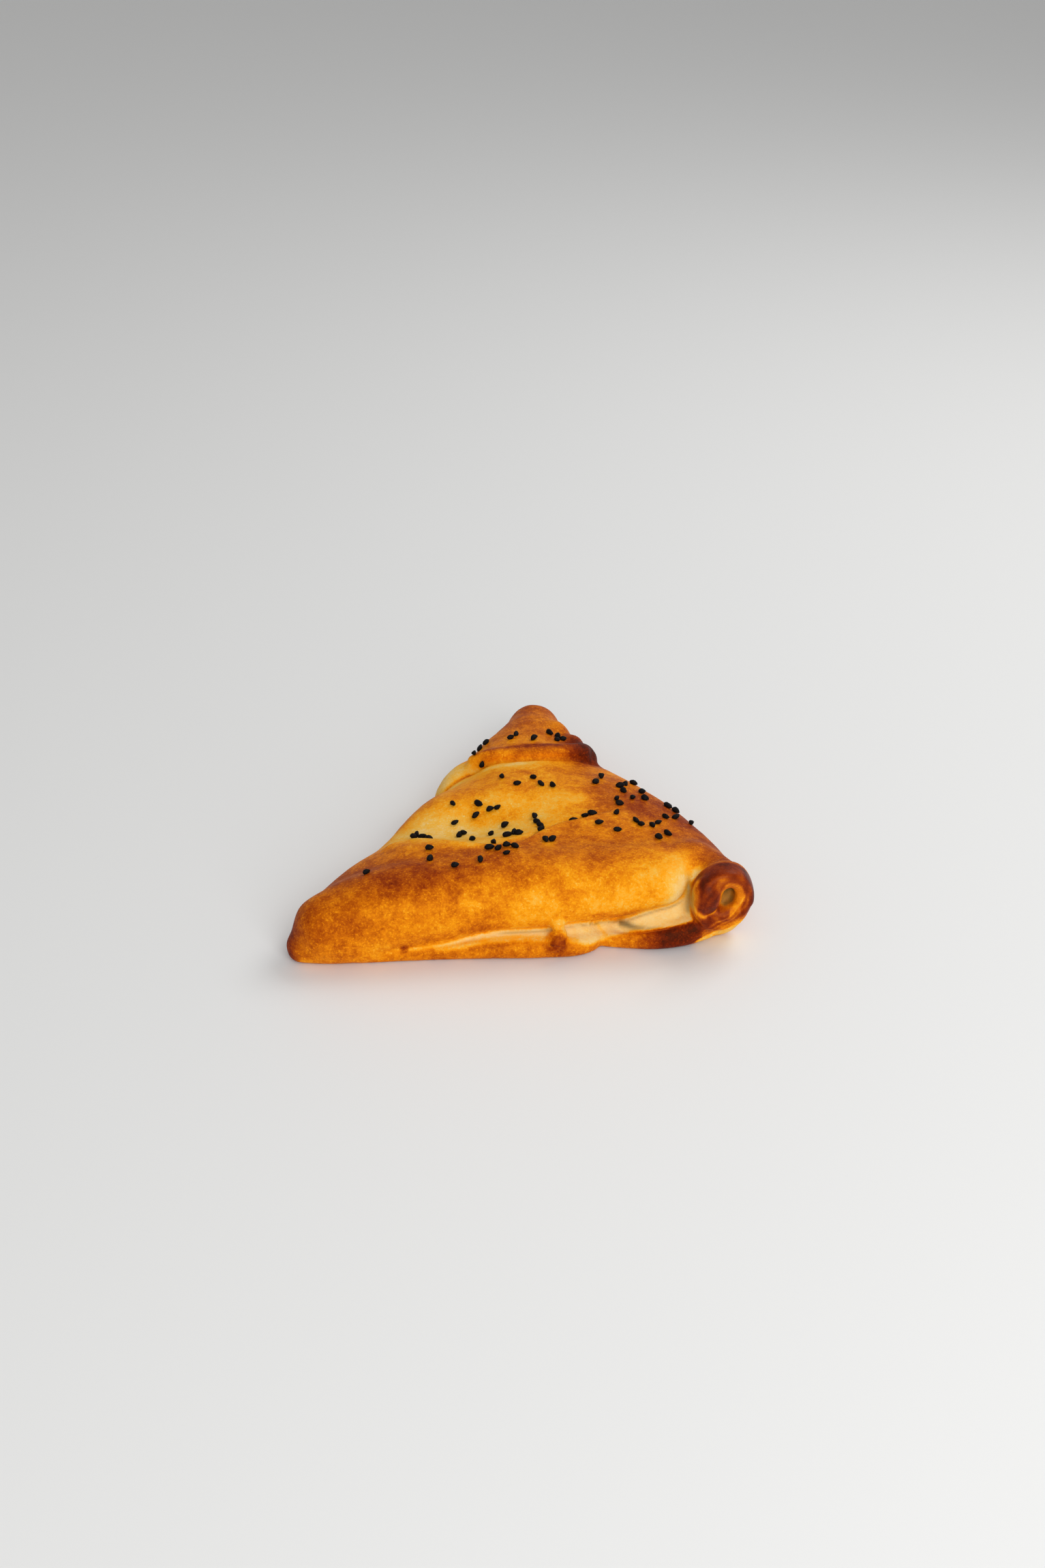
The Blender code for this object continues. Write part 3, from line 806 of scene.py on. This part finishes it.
strength = maths(tree, "MULTIPLY", spread(tree, browning, -0.25, 0.4), maths(tree, "SUBTRACT", 1.0, maths(tree, "MULTIPLY", glossy, 0.6)))
brown_here = maths(tree, "ADD", browning, maths(tree, "MULTIPLY", shift, strength), clamp=True)
ramp = node(tree, "ShaderNodeValToRGB")
while len(ramp.color_ramp.elements) < len(CRUST_COLOURS):
    ramp.color_ramp.elements.new(0.5)
for element, (position, colour) in zip(ramp.color_ramp.elements, CRUST_COLOURS):
    element.position = position
    element.color = (*colour, 1)
link(brown_here, ramp.inputs["Fac"])
# Painted shadow: the fold shade attribute mixes the dark olive colour below over the ramp's colour.
shade = node(tree, "ShaderNodeAttribute", attribute_name="painted_fold_shadow").outputs["Fac"]
# On this node sockets 6 and 7 are the two colours and output 2 is their mix.
shaded = node(tree, "ShaderNodeMix", data_type="RGBA")
shaded.inputs[7].default_value = (0.1, 0.068, 0.022, 1)
link(shade, shaded.inputs[0])
link(ramp.outputs["Color"], shaded.inputs[6])
link(shaded.outputs[2], shader.inputs["Base Color"])
print("crust ramp:", len(CRUST_COLOURS), "colours")

# %% Crust surface
height = maths(tree, "ADD", maths(tree, "MULTIPLY", flecks, 0.22), maths(tree, "MULTIPLY", grain, 0.6))
height = maths(tree, "ADD", height, maths(tree, "MULTIPLY", mottle, 0.7))
bump = node(tree, "ShaderNodeBump", {"Strength": 0.5, "Distance": 0.45 * MM})
link(height, bump.inputs["Height"])
link(bump.outputs["Normal"], shader.inputs["Normal"])
link(maths(tree, "SUBTRACT", 0.52, maths(tree, "MULTIPLY", glossy, 0.2)), shader.inputs["Roughness"])
shader.inputs["Specular IOR Level"].default_value = 0.08
shader.inputs["Specular Tint"].default_value = (1.0, 0.62, 0.25, 1)
shader.inputs["Subsurface Weight"].default_value = 0.06
shader.inputs["Subsurface Radius"].default_value = (1.6 * MM, 0.8 * MM, 0.3 * MM)
shader.inputs["Subsurface Scale"].default_value = 1.0
link(maths(tree, "MULTIPLY", glossy, 0.08), shader.inputs["Coat Weight"])
shader.inputs["Coat Tint"].default_value = (1.0, 0.7, 0.35, 1)
shader.inputs["Coat Roughness"].default_value = 0.3
pastry.data.materials.clear()
pastry.data.materials.append(crust)
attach(pastry, "root")
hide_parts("pastry")
print("crust nodes:", len(tree.nodes))

# %% [markdown]
# ## Nigella seeds
#
# A nigella seed is a three-sided drop about 3 mm long and nearly black.  One small closed surface
# stands for it, and each seed on the crust is that surface turned, tilted and scaled a little, laid
# on the skin where a ray from above meets it and pressed in slightly, as seeds bake in.  Their places
# are listed one by one: loose groups of one to four, thick on the right shoulder and in the valley.

# %% Where the seeds lie
# x, y and the direction of the pointed end in degrees, seen from above.
SEEDS_HAT = (
    (8, 38.5, 72), (5.6, 35.5, 18), (21.3, 40.5, -52), (14.5, 32.5, 46), (23.5, 34, 26), (24.3, 38.6, -70),
    (26.4, 37.4, 26), (-3.4, 40.5, 33), (-6, 37.5, 50), (-9.1, 26.3, -75), (-6.8, 22.9, 80),
)
SEEDS_PANEL = (
    (-0.6, 3.5, 72), (4.3, -3.5, 0), (10.8, 1, -26), (13.2, -4.5, -57), (17.5, -6, -65), (-20.5, -12, -63),
    (-11, -13.5, -52), (-7, -17, 26), (-4.3, -16.3, 33), (-12.5, -19, 46), (-20.5, -21.5, 33), (-2.3, -27, 33),
    (8.7, -24.5, 79), (9.2, -28.6, -40), (10, -31.8, -33), (10.4, -37, 52),
)
SEEDS_VALLEY = (
    (-36.2, -32.5, 33), (-35, -28, 84), (-33, -30.5, -18), (-30.8, -34, -26), (-19.6, -29.8, 72), (-17.8, -28.3, 18),
    (-8, -32.3, 65), (-15.5, -40.5, -65), (-2.6, -38.6, 18), (0, -36, 72), (1.5, -37.6, -18), (-8.4, -45.8, -79),
    (-10.2, -50.8, 4), (-7.2, -51.6, 40), (-4, -50, 9), (-1.2, -51, -33), (-4.6, -55.5, 9),
)
SEEDS_ROLL = ((-31.2, -46, -18), (-31.5, -54, 61), (-23.2, -61, 9), (-14.2, -58.5, 84), (-54, -57, 33), (10.3, -46, -72),
              (12.9, -45.6, 46))
SEEDS_SHOULDER = (
    (36.8, 3, 75), (34, -3, 46), (43, -4.6, 9), (45.6, -1.6, 65), (49, 2, -26), (43.7, -9, -57), (51, -7, 18),
    (46.3, -14.5, 75), (51, -14, -18), (40, -16.6, 79), (40.6, -20.6, 0), (38.3, -28.5, 52), (26.8, -28.2, 18),
    (29.6, -27, -18), (22.2, -31.5, 0), (31, -36, 9), (37, -41, 9), (44.8, -34.2, -57), (46.2, -37, -46),
    (50.2, -37, -57), (53, -34, 33), (56.6, -28.5, -46), (60.5, -27, 40), (59.3, -16.5, -52), (61.6, -20, -52),
    (51.3, -46, -57), (55.3, -42, -33), (66.2, -27.5, 70),
)
SEEDS = SEEDS_HAT + SEEDS_PANEL + SEEDS_VALLEY + SEEDS_ROLL + SEEDS_SHOULDER
print("seeds:", len(SEEDS))

# %% A few kinds of seed
SEED_LENGTH = 3.5
SEED_WIDTH = 2.25
SEED_SINK = 0.25
SEED_KINDS = 5


def seed_surface(rng, rows=10, around=11):
    """Along the axis t from 0 to 1 the radius is sin(pi t)^0.55 (1.08 - 0.3 t) times a ridge at every
    third of a turn, 1 + 0.12 cos 3a, and times random shallow dents; the far end is the pointed one."""
    t = np.linspace(0.03, 0.985, rows)[:, None]
    a = np.linspace(0, 2 * np.pi, around, endpoint=False)[None, :]
    dents = 1 + rng.normal(0, 0.055, (rows, around))
    radius = 0.5 * SEED_WIDTH * np.sin(np.pi * t) ** 0.55 * (1.08 - 0.3 * t) * (1 + 0.12 * np.cos(3 * a)) * dents
    bend = 0.16 * np.sin(np.pi * t)
    x = (t - 0.5) * SEED_LENGTH + 0 * a
    return np.stack([x, radius * np.cos(a), 0.86 * radius * np.sin(a) + bend], axis=-1)


rng = np.random.default_rng(11)
seed_kinds = [seed_surface(rng) for _ in range(SEED_KINDS)]
print("kinds of seed:", len(seed_kinds), "each of", seed_kinds[0].size // 3, "points")

# %% Lay the seeds on the crust
ground = BVHTree.FromPolygons([vertex.co for vertex in pastry.data.vertices],
                              [polygon.vertices for polygon in pastry.data.polygons])
laid = []
for x, y, direction in SEEDS:
    above = Vector(BASE_MIDDLE) + Vector((x, y, 60)) * MM
    spot, normal, _, _ = ground.ray_cast(above, Vector((0, 0, -1)))
    heading = math.radians(direction)
    axis = Vector((math.cos(heading), math.sin(heading), 0))
    axis = (axis - normal * axis.dot(normal)).normalized()
    side = normal.cross(axis)
    tilt, roll, scale = rng.normal(0, 0.13), rng.uniform(0, 2 * np.pi), rng.uniform(0.9, 1.12)
    turn = np.array([axis * math.cos(tilt) + normal * math.sin(tilt), side, normal * math.cos(tilt) - axis * math.sin(tilt)])
    rolled = seed_kinds[len(laid) % SEED_KINDS] @ np.array([[1, 0, 0], [0, math.cos(roll), math.sin(roll)], [0, -math.sin(roll), math.cos(roll)]])
    rolled = rolled * scale * [rng.uniform(0.85, 1.12), 1, 1]
    lift = 0.45 * SEED_WIDTH * scale - SEED_SINK
    centre = (np.array(spot) - BASE_MIDDLE) / MM + np.array(normal) * lift
    laid.append(skin("seed", rolled @ turn + centre))
seeds = joined("nigella_seeds", laid)
seeds.data.shade_smooth()
print("seeds laid:", len(laid), "with", len(seeds.data.polygons), "faces")

# %% Seed material
seed_paint = bpy.data.materials.new("nigella_black")
seed_paint.use_nodes = True
tree = seed_paint.node_tree
link = tree.links.new
shader = tree.nodes["Principled BSDF"]
where = node(tree, "ShaderNodeTexCoord").outputs["Object"]
shade = node(tree, "ShaderNodeValToRGB")
shade.color_ramp.elements[0].color = (0.003, 0.003, 0.003, 1)
shade.color_ramp.elements[1].color = (0.010, 0.008, 0.008, 1)
pits = noise(tree, where, 0.35, 2)
link(pits, shade.inputs["Fac"])
link(shade.outputs["Color"], shader.inputs["Base Color"])
bump = node(tree, "ShaderNodeBump", {"Strength": 0.6, "Distance": 0.12 * MM})
link(pits, bump.inputs["Height"])
link(bump.outputs["Normal"], shader.inputs["Normal"])
shader.inputs["Roughness"].default_value = 0.5
shader.inputs["Specular IOR Level"].default_value = 0.06
seeds.data.materials.clear()
seeds.data.materials.append(seed_paint)
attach(seeds, "root")
print("seed material:", len(tree.nodes), "nodes")

# %% [markdown]
# ## Floor, light and camera
#
# A pale matt floor, a soft window at the back right and a large soft light in front of the pastry, with
# an even grey-white room, give broad light without hard shadows.

# %% Floor
FLOOR_SIZE = 3.0
floor_mesh = bpy.data.meshes.new("floor")
corners = [(x * FLOOR_SIZE, y * FLOOR_SIZE, cad_low.z) for x, y in ((-1, -1), (1, -1), (1, 1), (-1, 1))]
floor_mesh.from_pydata(corners, [], [(0, 1, 2, 3)])
floor = bpy.data.objects.new("floor", floor_mesh)
bpy.context.scene.collection.objects.link(floor)
floor_paint = bpy.data.materials.new("pale_floor")
floor_paint.use_nodes = True
floor_paint.node_tree.nodes["Principled BSDF"].inputs["Base Color"].default_value = (0.82, 0.82, 0.81, 1)
floor_mesh.materials.append(floor_paint)


# %% Lights
def area_light(name, place, aim, size, power, colour=(1, 1, 1)):
    data = bpy.data.lights.new(name, "AREA")
    data.size = size
    data.energy = power
    data.color = colour
    lamp = bpy.data.objects.new(name, data)
    lamp.location = place
    lamp.rotation_mode = "QUATERNION"
    lamp.rotation_quaternion = (Vector(aim) - Vector(place)).to_track_quat("-Z", "Y")
    bpy.context.scene.collection.objects.link(lamp)
    return lamp


area_light("window", (0.6, 0.35, 0.8), (0, 0, 0), 0.6, 4.0)
area_light("front_softbox", (0.2, -1.15, 0.62), (0, 0, 0.01), 1.0, 11)
world = bpy.data.worlds.new("studio")
world.use_nodes = True
world.node_tree.nodes["Background"].inputs["Color"].default_value = (1, 1, 1, 1)
world.node_tree.nodes["Background"].inputs["Strength"].default_value = 0.42
bpy.context.scene.world = world
bpy.context.scene.view_settings.view_transform = "Standard"

# %% Camera
AIM = Vector((*BASE_MIDDLE,)) + Vector((8.8, 20.5, 15)) * MM
CAMERA_DISTANCE = 844.5 * MM
CAMERA_AZIMUTH = -6.0
CAMERA_ELEVATION = 30.46
CAMERA_ROLL = 0.62
azimuth, elevation = math.radians(CAMERA_AZIMUTH), math.radians(CAMERA_ELEVATION)
towards = Vector((math.sin(azimuth) * math.cos(elevation), -math.cos(azimuth) * math.cos(elevation), math.sin(elevation)))
camera_data = bpy.data.cameras.new("camera")
camera_data.lens = 50
camera_data.sensor_width = 36
camera = bpy.data.objects.new("camera", camera_data)
camera.location = AIM + towards * CAMERA_DISTANCE
camera.rotation_mode = "QUATERNION"
camera.rotation_quaternion = ((-towards).to_track_quat("-Z", "Y") @ Matrix.Rotation(math.radians(CAMERA_ROLL), 4, "Z").to_quaternion())
bpy.context.scene.collection.objects.link(camera)
bpy.context.scene.camera = camera
